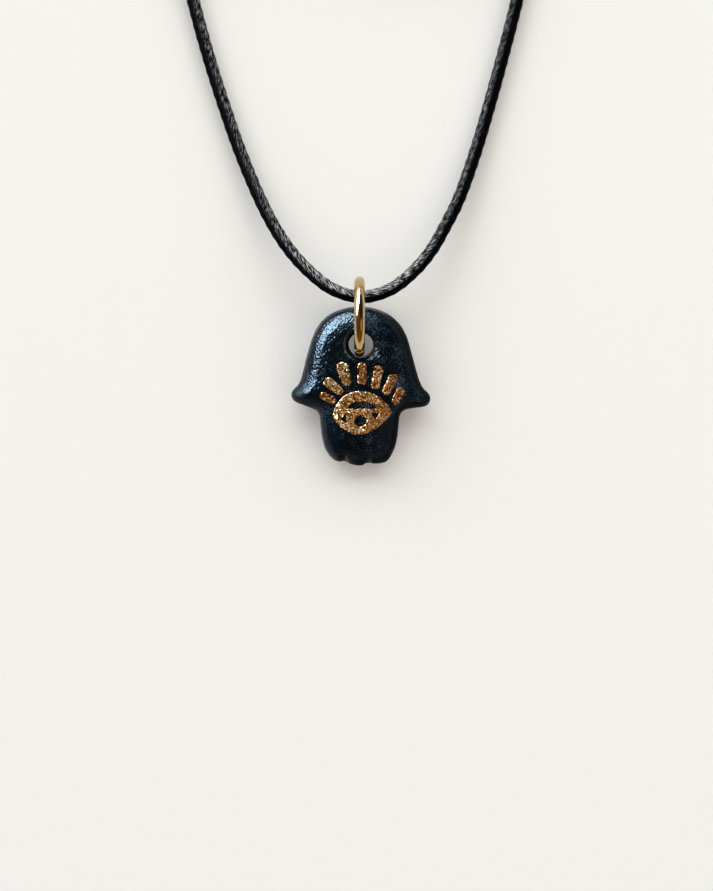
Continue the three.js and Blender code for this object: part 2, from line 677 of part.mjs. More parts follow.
function cordEnd(eyeUpright) {
  const profile = [
    [0, CUP_DEPTH],
    [cupBore, CUP_DEPTH],
    [cupBore, 0],
    [cupRadius, 0],
    [cupRadius + CUP_BEAD, CUP_ROUND],
    [cupRadius, 2 * CUP_ROUND],
    [cupRadius, cupLength - CUP_ROUND],
    [cupRadius - CUP_ROUND, cupLength],
    [0, cupLength],
  ].map((point) => new THREE.Vector2(...point));
  const cup = solidOf(new THREE.LatheGeometry(profile, CUP_SIDES));
  const eye = wireEye();
  if (eyeUpright) {
    eye.rotateY(Math.PI / 2);
  }
  return geometryOf(cup.add(solidOf(eye.translate(0, eyeOffset, 0))));
}

const leftEnd = addPiece(charm, 'cord_end_left', cordEnd(false), polishedGold);
leftEnd.position.set(LEFT_END_X, LEFT_CUP_Y, endHeight);
const rightEnd = addPiece(charm, 'cord_end_right', cordEnd(true), polishedGold);
rightEnd.position.set(coilExitX, RIGHT_CUP_Y, endHeight);

const linkWire = wireRing(LINK_D, LINK_WIRE_D, LINK_SEAM_TURN, SMALL_RING_SIDES, SMALL_RING_STEPS);
const linkRing = addPiece(charm, 'link_ring', linkWire, polishedGold);
linkRing.position.set(LEFT_END_X, LEFT_CUP_Y + eyeOffset + linkHalfSpan, LINK_D / 2);

// Catch ring: it hangs in the upright eye and leans down until its far side meets the table

function catchRing() {
  const radius = (CATCH_D - CATCH_WIRE_D) / 2;
  const drop = endHeight - CATCH_WIRE_D / 2 - TABLE_CLEARANCE;
  const lean = Math.asin(drop / (2 * radius));
  const geometry = wireRing(CATCH_D, CATCH_WIRE_D, CATCH_SEAM_TURN, SMALL_RING_SIDES, SMALL_RING_STEPS);
  return geometry.rotateY(Math.PI / 2).translate(0, radius, 0).rotateX(-lean);
}

const catchPiece = addPiece(charm, 'catch_ring', catchRing(), polishedGold);
catchPiece.position.set(coilExitX, RIGHT_CUP_Y + eyeOffset, endHeight);

// Clasp: a hook-shaped body, whose gate is cut out as the lever that turns on a rivet

function claspBand() {
  const half = CLASP_WIDTH / 2;
  const neck = CLASP_NECK_WIDTH / 2;
  const belly = (CLASP_LENGTH + CLASP_NECK) / 2 + CLASP_BELLY_SHIFT;
  const shoulder = { x: neck + CLASP_SHOULDER.out, y: CLASP_NECK + CLASP_SHOULDER.up };
  const shape = new THREE.Shape();
  shape.moveTo(-neck, CLASP_NECK);
  shape.lineTo(neck, CLASP_NECK);
  shape.bezierCurveTo(shoulder.x, shoulder.y, half, belly - CLASP_PULL.below, half, belly);
  shape.bezierCurveTo(half, belly + CLASP_PULL.above, CLASP_PULL.nose, CLASP_LENGTH, 0, CLASP_LENGTH);
  shape.bezierCurveTo(-CLASP_PULL.nose, CLASP_LENGTH, -half, belly + CLASP_PULL.above, -half, belly);
  shape.bezierCurveTo(-half, belly - CLASP_PULL.below, -shoulder.x, shoulder.y, -neck, CLASP_NECK);
  const space = new THREE.Path();
  space.absellipse(0, hookSpaceY, HOOK_SPACE.width / 2, HOOK_SPACE.length / 2, 0, 2 * Math.PI, true);
  shape.holes.push(space);
  const geometry = new THREE.ExtrudeGeometry(shape, {
    depth: CLASP_THICKNESS - 2 * CLASP_BEVEL,
    bevelThickness: CLASP_BEVEL,
    bevelSize: CLASP_BEVEL,
    bevelOffset: -CLASP_BEVEL,
    bevelSegments: 2,
    curveSegments: 8,
  });
  return solidOf(geometry.translate(0, 0, CLASP_BEVEL - CLASP_THICKNESS / 2));
}

function sector(radius, sweep, thickness) {
  const shape = new THREE.Shape();
  const [from, to] = [sweep.from, sweep.to].map(THREE.MathUtils.degToRad);
  shape.moveTo(PIVOT.x, PIVOT.y);
  shape.absarc(PIVOT.x, PIVOT.y, radius, from, to, false);
  shape.lineTo(PIVOT.x, PIVOT.y);
  return solidOf(plate(shape, thickness));
}

function roundPlate(centre, radius, thickness) {
  const shape = new THREE.Shape();
  shape.absarc(centre.x, centre.y, radius, 0, 2 * Math.PI, false);
  return solidOf(plate(shape, thickness));
}

const throughClasp = 2 * CLASP_THICKNESS;

function gateSector(reach, sweep, cheekR) {
  return sector(reach, sweep, throughClasp).subtract(roundPlate(PIVOT, cheekR, 2 * throughClasp));
}

function claspBody() {
  const gate = gateSector(GATE_REACH, GATE_SWEEP, CHEEK_R);
  const slot = sector(SLOT_REACH, SLOT_SWEEP, slotWidth).add(roundPlate(PIVOT, SLOT_R, slotWidth));
  const rivetHole = roundPlate(PIVOT, RIVET_D / 2 + RIVET_CLEARANCE, throughClasp);
  return geometryOf(claspBand().add(solidOf(wireEye())).subtract(gate).subtract(slot).subtract(rivetHole));
}

function claspLever() {
  const sweep = { from: GATE_SWEEP.from + GATE_PLAY, to: GATE_SWEEP.to };
  const gateSpace = gateSector(GATE_REACH - GATE_CLEARANCE, sweep, CHEEK_R + GATE_CLEARANCE);
  const gate = claspBand().intersect(gateSpace);
  const hub = roundPlate(PIVOT, LEVER_ROOT_R, LEVER_PLATE);
  const root = sector(LEVER_ROOT_REACH, LEVER_ROOT_SWEEP, LEVER_PLATE).add(hub);
  const nub = roundPlate(THUMB_NUB, THUMB_NUB.radius, THUMB_NUB.thickness);
  const bore = roundPlate(PIVOT, RIVET_D / 2 + RIVET_CLEARANCE, throughClasp);
  return geometryOf(gate.add(root).add(nub).subtract(bore));
}

function claspSpring() {
  const inner = LEVER_ROOT_R + SPRING_CLEARANCE;
  const [from, to] = [SPRING_SWEEP.from, SPRING_SWEEP.to].map(THREE.MathUtils.degToRad);
  const shape = new THREE.Shape();
  shape.absarc(PIVOT.x, PIVOT.y, inner + SPRING_THICKNESS, from, to, false);
  shape.absarc(PIVOT.x, PIVOT.y, inner, to, from, true);
  return plate(shape, LEVER_PLATE);
}

const clasp = new THREE.Group();
clasp.position.set(LEFT_END_X, LEFT_CUP_Y + eyeOffset + 2 * linkHalfSpan, endHeight);
charm.add(clasp);
addPiece(clasp, 'clasp_body', claspBody(), polishedGold);
addPiece(clasp, 'clasp_lever', claspLever(), polishedGold);
addPiece(clasp, 'clasp_spring', claspSpring(), springSteel);
const rivet = new THREE.CylinderGeometry(RIVET_D / 2, RIVET_D / 2, CLASP_THICKNESS, RIVET_SIDES);
addPiece(clasp, 'clasp_rivet', rivet.rotateX(Math.PI / 2).translate(PIVOT.x, PIVOT.y, 0), polishedGold);

export default charm;
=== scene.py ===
"""Looks of the hamsa charm: a black glazed hand with a gold lustre eye, its gold ring and its cord.

The necklace lies flat on a table. Lengths are in millimetres, and become metres where Blender
takes them.
"""

import math

import bpy
import numpy as np
from mathutils import Matrix, Vector, noise


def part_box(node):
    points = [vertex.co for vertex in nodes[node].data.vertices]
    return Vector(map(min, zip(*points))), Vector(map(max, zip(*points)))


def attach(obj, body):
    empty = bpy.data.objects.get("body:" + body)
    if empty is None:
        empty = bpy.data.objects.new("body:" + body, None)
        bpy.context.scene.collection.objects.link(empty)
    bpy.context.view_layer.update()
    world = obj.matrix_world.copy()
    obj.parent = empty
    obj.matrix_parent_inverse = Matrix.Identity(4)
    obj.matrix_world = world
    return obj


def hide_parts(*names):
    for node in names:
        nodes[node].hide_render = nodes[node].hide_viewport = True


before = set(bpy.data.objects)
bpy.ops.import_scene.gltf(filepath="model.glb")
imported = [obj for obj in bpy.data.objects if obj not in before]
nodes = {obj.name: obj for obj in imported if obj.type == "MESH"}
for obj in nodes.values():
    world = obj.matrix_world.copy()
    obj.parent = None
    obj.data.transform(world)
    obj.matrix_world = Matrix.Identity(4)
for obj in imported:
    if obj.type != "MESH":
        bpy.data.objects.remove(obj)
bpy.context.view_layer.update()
MM = 0.001

# Places and sizes of the solids, as in the part
HAND_FOOT = Vector((-0.14, -10.464, -0.0732))
HAND_TILT = math.radians(5.998)
RING_D = 9.0
RING_WIRE_D = 1.2
RING_SEAM = 0.08
RING_SEAM_TURN = 0.93
LINK_D = 5.0
LINK_WIRE_D = 0.7
LINK_SEAM_TURN = 0.75
CATCH_D = 6.0
CATCH_WIRE_D = 0.8
CATCH_SEAM_TURN = 0.3
CATCH_LEAN = math.radians(11.31)
LEFT_CUP = Vector((-20.0, 50.5, 1.45))
RIGHT_CUP = Vector((19.95, 72.5, 1.45))
CUP_BORE_R = 0.9
CUP_R = 1.25
CUP_DEPTH = 4.0
CUP_LENGTH = 4.8
EYE_R = 1.05
EYE_WIRE_D = 0.8
EYE_OFFSET = 5.95

# Cord route, the same points as the solids follow
CORD_D = 1.5
MEETING_GAP = 0.3
COIL_ENTRY_X = 18.95
COIL_EXIT_X = 19.95
COIL_CENTRE = (7.95, 64.0)
COIL_LOW = 1.2
COIL_HIGH = 3.2
COIL_PITCH = 2.0
COIL_TURNS_IN = 2.5
COIL_CLIMB = 0.5
COIL_TURNS_OUT = 3.0
COIL_STEPS = 24
NECKLACE_ROUTE = [
    (LEFT_CUP.x, LEFT_CUP.y + CUP_DEPTH - MEETING_GAP, LEFT_CUP.z),
    (LEFT_CUP.x, LEFT_CUP.y + 1, LEFT_CUP.z),
    (-20.05, 48.4, 1.15),
    (-19.68, 45.1, 0.85),
    (-18.87, 41.7, 0.78),
    (-17.35, 36.1, 0.78),
    (-15.6, 30.5, 0.82),
    (-13.65, 24.9, 1.0),
    (-11.35, 19.4, 1.45),
    (-9.65, 16.1, 1.95),
    (-7.9, 13.5, 2.45),
    (-5.75, 11.15, 3.0),
    (-3.1, 9.15, 3.55),
    (0.1, 8.3, 3.75),
    (3.3, 9.15, 3.55),
    (6.0, 11.25, 3.0),
    (7.95, 13.6, 2.45),
    (9.4, 16.1, 1.95),
    (11.05, 19.4, 1.45),
    (13.0, 24.9, 1.0),
    (14.65, 30.5, 0.82),
    (16.17, 36.1, 0.78),
    (17.6, 41.7, 0.78),
    (18.4, 45.4, 0.8),
    (18.85, 49.2, 0.95),
    (COIL_ENTRY_X, 53.2, 1.1),
    (COIL_ENTRY_X, 57.4, 1.18),
    (COIL_ENTRY_X, COIL_CENTRE[1] - CORD_D - MEETING_GAP, COIL_LOW),
]
TAIL_ROUTE = [
    (COIL_EXIT_X, COIL_CENTRE[1] + CORD_D + MEETING_GAP, COIL_HIGH),
    (COIL_EXIT_X, COIL_CENTRE[1] + 3.2, COIL_HIGH),
    (COIL_EXIT_X, COIL_CENTRE[1] + 5.2, 2.55),
    (COIL_EXIT_X, COIL_CENTRE[1] + 7.2, 1.75),
    (COIL_EXIT_X, RIGHT_CUP.y + 0.8, RIGHT_CUP.z),
    (COIL_EXIT_X, RIGHT_CUP.y + CUP_DEPTH - MEETING_GAP, RIGHT_CUP.z),
]

# Fineness of the meshes
HAND_MESH = {"voxel": 0.09, "smoothing": 6}
GOLD_MESH = {"voxel": 0.035, "smoothing": 2}
CLASP_MESH = {"voxel": 0.06, "smoothing": 4}
TIE_MESH = {"voxel": 0.07, "smoothing": 3}
CORD_SIDES = 36
CORD_FINE_STEP = 0.11
CORD_COARSE_STEP = 0.2
SPAN_SAMPLES = 40
RING_STEPS = 160
RING_SIDES = 32
CUP_SIDES = 56
EYE_STEPS = 64
EYE_SIDES = 24

# Camera and table
VIEW_CENTRE = (-0.478, -8.38)
VIEW_TALL = 100.2
VIEW_PLANE = 3.0
CAMERA_HEIGHT = 500.0
CAMERA_CLIP = 10.0
SENSOR = 36.0
TABLE_HALF = 1500.0


# Meshes

def add_piece(name, mesh, body, material, replaced):
    piece = bpy.data.objects.new(name, mesh)
    bpy.context.scene.collection.objects.link(piece)
    mesh.materials.clear()
    mesh.materials.append(material)
    mesh.shade_smooth()
    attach(piece, body)
    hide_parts(*replaced)
    return piece


def mesh_from(name, points, faces):
    mesh = bpy.data.meshes.new(name)
    mesh.from_pydata(np.asarray(points) * MM, [], faces)
    mesh.validate()
    mesh.update()
    return mesh


def finer_mesh(node, voxel, smoothing):
    """A closed, finely meshed and softened copy of a solid."""
    copy = bpy.data.objects.new("finer", nodes[node].data.copy())
    bpy.context.scene.collection.objects.link(copy)
    remesh = copy.modifiers.new("remesh", "REMESH")
    remesh.mode = "VOXEL"
    remesh.voxel_size = voxel * MM
    smooth = copy.modifiers.new("smooth", "SMOOTH")
    smooth.factor = 0.5
    smooth.iterations = smoothing
    evaluated = copy.evaluated_get(bpy.context.evaluated_depsgraph_get())
    mesh = bpy.data.meshes.new_from_object(evaluated)
    bpy.data.objects.remove(copy)
    mesh.name = node
    return mesh


def points_of(mesh):
    places = np.empty(len(mesh.vertices) * 3)
    mesh.vertices.foreach_get("co", places)
    return places.reshape(-1, 3) / MM


def normals_of(mesh):
    normals = np.empty(len(mesh.vertices) * 3)
    mesh.vertex_normals.foreach_get("vector", normals)
    return normals.reshape(-1, 3)


def move_points(mesh, places):
    mesh.vertices.foreach_set("co", (np.array(places) * MM).ravel())
    mesh.update()


def push_out(mesh, height_of):
    """Moves each point along its normal by height_of(its place)."""
    places = points_of(mesh)
    heights = np.array([height_of(Vector(place)) for place in places])
    move_points(mesh, places + normals_of(mesh) * heights[:, None])


def set_mask(mesh, name, values):
    mask = mesh.attributes.new(name, "FLOAT", "POINT")
    mask.data.foreach_set("value", values)


def between(value, start, end):
    """0 at the start, 1 at the end and a straight line from one to the other."""
    return np.clip((value - start) / (end - start), 0, 1)


def turns_of(sides):
    return np.arange(sides) * math.tau / sides


def lengths_along(line):
    return np.concatenate([[0], np.cumsum(np.linalg.norm(np.diff(line, axis=0), axis=1))])


def smooth_line(route, step):
    """Points every step along a centripetal Catmull-Rom line through the route."""
    points = np.array(route, float)
    points = np.vstack([2 * points[0] - points[1], points, 2 * points[-1] - points[-2]])
    dense = []
    for p0, p1, p2, p3 in zip(points, points[1:], points[2:], points[3:]):
        t1 = np.linalg.norm(p1 - p0) ** 0.5
        t2 = t1 + np.linalg.norm(p2 - p1) ** 0.5
        t3 = t2 + np.linalg.norm(p3 - p2) ** 0.5
        t = np.linspace(t1, t2, SPAN_SAMPLES, endpoint=False)[:, None]
        a1 = (t1 - t) / t1 * p0 + t / t1 * p1
        a2 = (t2 - t) / (t2 - t1) * p1 + (t - t1) / (t2 - t1) * p2
        a3 = (t3 - t) / (t3 - t2) * p2 + (t - t2) / (t3 - t2) * p3
        b1 = (t2 - t) / t2 * a1 + t / t2 * a2
        b2 = (t3 - t) / (t3 - t1) * a2 + (t - t1) / (t3 - t1) * a3
        dense.append((t2 - t) / (t2 - t1) * b1 + (t - t1) / (t2 - t1) * b2)
    dense = np.vstack([*dense, points[-2:-1]])
    along = lengths_along(dense)
    marks = np.linspace(0, along[-1], max(2, round(along[-1] / step) + 1))
    return np.column_stack([np.interp(marks, along, dense[:, axis]) for axis in range(3)])


def frames_along(line):
    """Two unit vectors across the line at each point, carried along it without twist."""
    tangents = np.gradient(line, axis=0)
    tangents /= np.linalg.norm(tangents, axis=1)[:, None]
    across = np.cross(tangents[0], (0, 0, 1.0))
    sides = []
    for tangent in tangents:
        across = across - tangent * across.dot(tangent)
        across /= np.linalg.norm(across)
        sides.append(across)
    sides = np.array(sides)
    return sides, np.cross(tangents, sides)


def wire_points(centre, first, second, bend, sizes, angles, sides):
    """Rings of points of given sizes round a wire, bent in the plane of two unit vectors."""
    turns = turns_of(sides)
    out = np.outer(np.cos(angles), first) + np.outer(np.sin(angles), second)
    outward = bend + np.outer(sizes, np.cos(turns))
    sideways = np.outer(sizes, np.sin(turns))
    points = outward[..., None] * out[:, None, :] + sideways[..., None] * np.cross(first, second)
    return (points + np.array(centre)).reshape(-1, 3)


def tube_faces(rings, sides, closed=False, start=0):
    """Faces that join rings of points, counted from start; an open tube gets two end faces."""
    faces = []
    for ring in range(rings if closed else rings - 1):
        low, high = start + ring * sides, start + (ring + 1) % rings * sides
        for side in range(sides):
            after = (side + 1) % sides
            faces.append((low + side, low + after, high + after, high + side))
    if not closed:
        faces.append(tuple(range(start, start + sides))[::-1])
        faces.append(tuple(range(start + (rings - 1) * sides, start + rings * sides)))
    return faces


# Shader nodes

class Net:
    """Adds shader nodes to a tree and joins them."""

    def __init__(self, tree):
        self.tree = tree

    def add(self, kind, inputs=None, **settings):
        node = self.tree.nodes.new(kind if kind.startswith("NodeGroup") else "ShaderNode" + kind)
        for key, value in settings.items():
            setattr(node, key, value)
        for key, value in (inputs or {}).items():
            self.put(node.inputs[key], value)
        return node

    def put(self, socket, value):
        if isinstance(value, bpy.types.NodeSocket):
            self.tree.links.new(value, socket)
        else:
            socket.default_value = value

    def group(self, group, **inputs):
        return self.add("Group", inputs, node_tree=group).outputs

    def mask(self, name):
        return self.add("Attribute", attribute_name=name).outputs["Fac"]

    def mapping(self, vector, kind="POINT", **settings):
        inputs = {"Vector": vector, **settings}
        return self.add("Mapping", inputs, vector_type=kind).outputs["Vector"]

    def maths(self, operation, *values):
        return self.add("Math", dict(enumerate(values)), operation=operation).outputs[0]

    def vector(self, operation, first, second):
        inputs = {0: first, "Scale" if operation == "SCALE" else 1: second}
        return self.add("VectorMath", inputs, operation=operation).outputs[0]

    def dot(self, first, second):
        inputs = {0: first, 1: second}
        return self.add("VectorMath", inputs, operation="DOT_PRODUCT").outputs["Value"]

    def mix(self, share, first, second, blend="MIX"):
        inputs = {"Factor": share, 6: first, 7: second}
        return self.add("Mix", inputs, data_type="RGBA", blend_type=blend).outputs[2]

    def ease(self, value, low, high):
        inputs = {"Value": value, "From Min": low, "From Max": high}
        return self.add("MapRange", inputs, interpolation_type="SMOOTHSTEP").outputs[0]

    def spread(self, value, low, high):
        inputs = {"Value": value, "To Min": low, "To Max": high}
        return self.add("MapRange", inputs).outputs[0]

    def ramp(self, value, stops):
        node = self.add("ValToRGB", {"Fac": value})
        elements = node.color_ramp.elements
        elements[0].position, elements[1].position = stops[0][0], stops[-1][0]
        elements[0].color, elements[1].color = (*stops[0][1], 1), (*stops[-1][1], 1)
        for position, colour in stops[1:-1]:
            elements.new(position).color = (*colour, 1)
        return node.outputs["Color"]

    def bump(self, height, distance):
        return self.add("Bump", {"Height": height, "Distance": distance * MM}).outputs["Normal"]


def new_group(name, inputs, outputs):
    """A node group with inputs and outputs of given kinds."""
    tree = bpy.data.node_groups.new(name, "ShaderNodeTree")
    for in_out, sockets in (("INPUT", inputs), ("OUTPUT", outputs)):
        for label, kind in sockets.items():
            tree.interface.new_socket(label, in_out=in_out, socket_type="NodeSocket" + kind)
    net = Net(tree)
    return tree, net, net.add("NodeGroupInput").outputs, net.add("NodeGroupOutput").inputs


def grain_group():
    """Fine lumps of a given size in millimetres."""
    inputs = {"Vector": "Vector", "Size": "Float", "Detail": "Float"}
    tree, net, given, result = new_group("grain", inputs, {"Height": "Float"})
    noise_inputs = {
        "Vector": given["Vector"],
        "Scale": net.maths("DIVIDE", 1 / MM, given["Size"]),
        "Detail": given["Detail"],
        "Roughness": 0.55,
    }
    net.put(result["Height"], net.add("TexNoise", noise_inputs).outputs["Fac"])
    return tree


def flakes_group():
    """Flat flakes of a given size in millimetres, each with its own tilt and a brightness that is
    partly random and partly painted glint: the more a flake leans towards +y, where the lights are,
    the paler it is.
    """
    inputs = {"Vector": "Vector", "Size": "Float", "Tilt": "Float"}
    tree, net, given, result = new_group("flakes", inputs, {"Tone_and_glint": "Float", "Normal": "Vector"})
    scale = net.maths("DIVIDE", 1 / MM, given["Size"])
    cells = net.add("TexVoronoi", {"Vector": given["Vector"], "Scale": scale}).outputs["Color"]
    # painted glint: the Green of each cell is also its lean towards +y, so flakes that face the
    # lights are paler
    net.put(result["Tone_and_glint"], net.add("SeparateColor", {"Color": cells}).outputs["Green"])
    lean = net.vector("SCALE", net.vector("SUBTRACT", cells, (0.5, 0.5, 0.5)), given["Tilt"])
    tilted = net.vector("ADD", net.add("NewGeometry").outputs["Normal"], lean)
    normal = net.add("VectorMath", {0: tilted}, operation="NORMALIZE").outputs[0]
    net.put(result["Normal"], normal)
    return tree


grain = grain_group()
flakes = flakes_group()


def lumps(net, vector, size, detail=3.0):
    return net.group(grain, Vector=vector, Size=size, Detail=detail)["Height"]


def new_material(name):
    material = bpy.data.materials.new(name)
    material.use_nodes = True
    net = Net(material.node_tree)
    place = net.add("TexCoord").outputs["Object"]
    return material, net, material.node_tree.nodes["Principled BSDF"].inputs, place


# Materials; colours are linear, and the dust rises per millimetre to the right and up

GLAZE = (0.0012, 0.0040, 0.0076, 1)
DUSTY_GLAZE = (0.052, 0.082, 0.112, 1)
# painted shade: a darker glaze for the dull edges on the right and below
SHADED_MATT_GLAZE = (0.0006, 0.0014, 0.0024, 1)
CHIPPED_GLAZE = (0.34, 0.39, 0.42, 1)
CLAY = (0.075, 0.026, 0.012, 1)
GLOSS_TINT = (0.52, 0.77, 1.0, 1)
# painted shade: a near-black specular tint takes the reflection off those edges
SHADED_MATT_TINT = (0.03, 0.04, 0.05, 1)
BRUSH_SLANT = math.radians(48)
BRUSH_STRETCH = 3.3
DUST_RISE = Vector((0.0105, 0.0055, 0))
# colours of the flakes, from dark brown up to the cream of the painted glints
LUSTRE_TONES_AND_GLINTS = [
    (0.1, (0.05, 0.009, 0.0005)),
    (0.45, (0.20, 0.07, 0.008)),
    (0.78, (0.55, 0.325, 0.085)),
    (1.0, (0.95, 0.86, 0.64)),
]
FILM_TINTS = [
    (0.0, (1.0, 1.0, 0.92)),
    (0.3, (1.0, 0.85, 0.60)),
    (0.6, (1.04, 0.74, 0.42)),
    (1.0, (0.76, 0.39, 0.18)),
]
GOLD_DULL = (0.44, 0.295, 0.12, 1)
GOLD_BRIGHT = (0.60, 0.45, 0.235, 1)
STEEL_DARK = (0.42, 0.42, 0.41, 1)
STEEL_PALE = (0.62, 0.62, 0.60, 1)
WAX = (0.0015, 0.0015, 0.0025, 1)
WAX_BLOOM = (0.006, 0.006, 0.0075, 1)
# painted sheen: the pale colour of the lit fibres on the cord
SHEEN_FIBRE = (0.78, 0.78, 0.79, 1)
YARN_SLANT = math.radians(24)
YARN_STRETCH = 0.18
STRIP_DARK = (0.012, 0.012, 0.013, 1)
STRIP_PALE = (0.035, 0.035, 0.037, 1)
CARD_DARK = (0.765, 0.75, 0.725, 1)
CARD_PALE = (0.775, 0.76, 0.735, 1)
CARD_GLOW = (0.12, 0.118, 0.113, 1)


def glaze_material():
    """Bluish black glaze, brushed and pebbled; masks say where the clay shows, where it is chipped,
    and where it is dull with painted shade that darkens it and takes its reflection away.
    """
    material, net, shader, place = new_material("black_glaze")
    bare_clay_or_lit_fibre, matt_and_shade, chipped = net.mask("bare_clay_or_lit_fibre"), net.mask("matt_and_shade"), net.mask("chipped")
    brushed = net.mapping(
        place, "TEXTURE", Rotation=(0, 0, BRUSH_SLANT), Scale=(BRUSH_STRETCH, 1, 1))
    pebbles = lumps(net, place, size=0.23, detail=0.6)
    strokes = lumps(net, brushed, size=0.27, detail=0.6)
    scratches = lumps(net, brushed, size=0.16, detail=1.0)
    cloud = lumps(net, place, size=2.4)
    fleck = lumps(net, place, size=0.14, detail=2.0)

    cloud = net.maths("MULTIPLY", cloud, 0.8)
    cloud = net.maths("ADD", cloud, net.dot(place, DUST_RISE / MM))
    dust = net.ease(net.maths("ADD", fleck, cloud), 0.96, 1.14)
    dust = net.maths("MULTIPLY", dust, net.spread(matt_and_shade, 1.0, 0.5))
    chips = net.maths("MULTIPLY", net.ease(chipped, 0.25, 0.75), net.ease(scratches, 0.38, 0.58))
    colour = net.mix(dust, GLAZE, DUSTY_GLAZE)
    # painted shade: the dull edges are made darker here
    colour = net.mix(net.maths("MULTIPLY", matt_and_shade, 0.75), colour, SHADED_MATT_GLAZE)
    colour = net.mix(bare_clay_or_lit_fibre, colour, CLAY)
    net.put(shader["Base Color"], net.mix(chips, colour, CHIPPED_GLAZE))

    roughness = net.spread(strokes, 0.08, 0.3)
    roughness = net.maths("ADD", roughness, net.maths("MULTIPLY", matt_and_shade, 0.6))
    skin = net.maths("ADD", pebbles, net.maths("MULTIPLY", strokes, 0.8))
    net.put(shader["Roughness"], roughness)
    # painted shade: the specular tint takes the reflection off the dull edges
    net.put(shader["Specular Tint"], net.mix(matt_and_shade, GLOSS_TINT, SHADED_MATT_TINT))
    net.put(shader["Normal"], net.bump(skin, 0.055))
    shader["Specular IOR Level"].default_value = 0.25
    return material


def lustre_material():
    """Fired gold lustre: crumpled flakes, pale where the film is thick and red where it is thin,
    with painted glints on the flakes that face the lights.
    """
    material, net, shader, place = new_material("gold_lustre")
    crumple = net.add("TexNoise", {"Vector": place, "Scale": 5 / MM, "Detail": 1.0})
    crumple = net.vector("SCALE", crumple.outputs["Color"], 0.12 * MM)
    crumpled = net.vector("ADD", place, crumple)
    fine = net.group(flakes, Vector=crumpled, Size=0.095, Tilt=0.5)
    patches = net.maths("MULTIPLY", lumps(net, place, size=0.7), 0.22)
    tone_and_glint = net.maths("ADD", net.maths("MULTIPLY", fine["Tone_and_glint"], 0.92), patches)
    tones_and_glints = net.ramp(tone_and_glint, LUSTRE_TONES_AND_GLINTS)
    tinted = net.mix(1.0, tones_and_glints, net.ramp(net.mask("thin"), FILM_TINTS), "MULTIPLY")
    # painted glint: the palest flakes keep their cream colour, untouched by the film's tint
    net.put(shader["Base Color"], net.mix(net.ease(tone_and_glint, 0.75, 1.1), tinted, tones_and_glints))
    net.put(shader["Normal"], fine["Normal"])
    shader["Metallic"].default_value = 0.65
    shader["Roughness"].default_value = 0.26
    shader["Specular IOR Level"].default_value = 0.05
    return material


def gold_material():
    """Polished gold plate with faint handling marks."""
    material, net, shader, place = new_material("polished_gold")
    smudges = lumps(net, place, size=1.3)
    drawn = lumps(net, place, size=0.12)
    net.put(shader["Base Color"], net.mix(smudges, GOLD_DULL, GOLD_BRIGHT))
    net.put(shader["Roughness"], net.spread(smudges, 0.1, 0.2))
    net.put(shader["Normal"], net.bump(drawn, 0.0003))
    shader["Metallic"].default_value = 1
    return material


def steel_material():
    material, net, shader, place = new_material("spring_steel")
    rolled = lumps(net, place, size=0.1)
    net.put(shader["Base Color"], net.mix(rolled, STEEL_DARK, STEEL_PALE))
    net.put(shader["Normal"], net.bump(rolled, 0.003))
    shader["Metallic"].default_value = 1
    shader["Roughness"].default_value = 0.3
    return material


def cord_material():
    """Black waxed cotton: fine slanted yarn, with pale fibres painted on as a sheen where the mask
    says.
    """
    material, net, shader, place = new_material("waxed_cord")
    lay = net.add("UVMap", uv_map="lay").outputs["UV"]
    size = (math.pi * CORD_D * MM, MM, 1)
    slanted = net.mapping(lay, Scale=size, Rotation=(0, 0, YARN_SLANT))
    fibres = lumps(net, net.mapping(slanted, Scale=(1, YARN_STRETCH, 1)), size=0.13)
    bloom = lumps(net, place, size=0.7)
    # painted sheen: pale fibres on the inside of the U, where the light falls
    bare_clay_or_lit_fibre = net.maths("MULTIPLY", net.mask("lit_fibre_sheen"), net.ease(fibres, 0.46, 0.66))
    colour = net.mix(net.ease(bloom, 0.5, 0.8), WAX, WAX_BLOOM)
    net.put(shader["Base Color"], net.mix(bare_clay_or_lit_fibre, colour, SHEEN_FIBRE))
    net.put(shader["Roughness"], net.spread(bloom, 0.26, 0.46))
    net.put(shader["Normal"], net.bump(fibres, 0.03))
    shader["Specular IOR Level"].default_value = 0.012
    return material


def tie_material():
    material, net, shader, place = new_material("tie_strip")
    weave = lumps(net, place, size=0.12)
    net.put(shader["Base Color"], net.mix(weave, STRIP_DARK, STRIP_PALE))
    net.put(shader["Normal"], net.bump(weave, 0.03))
    shader["Roughness"].default_value = 0.75
    shader["Specular IOR Level"].default_value = 0.1
    return material


def table_material():
    """Pale card, a part of whose brightness doesn't depend on the shadows on it."""
    material, net, shader, place = new_material("pale_table")
    net.put(shader["Base Color"], net.mix(lumps(net, place, size=0.8), CARD_DARK, CARD_PALE))
    shader["Roughness"].default_value = 0.9
    shader["Specular IOR Level"].default_value = 0.0
    ray = net.add("LightPath").outputs
    mirrored = net.maths("MAXIMUM", ray["Is Glossy Ray"], ray["Is Transmission Ray"])
    shader["Emission Color"].default_value = CARD_GLOW
    net.put(shader["Emission Strength"], net.maths("MAXIMUM", ray["Is Camera Ray"], mirrored))
    return material


glaze = glaze_material()
lustre = lustre_material()
gold = gold_material()
steel = steel_material()
waxed = cord_material()
strip = tie_material()


# Cord: braided, waxed, one length from cup to cup

BRAID_CARRIERS = 6
BRAID_LAY = 8.0
BRAID_RELIEF = 0.08
STRAND_ROUNDNESS = 0.6
STRAND_DIP = 0.55

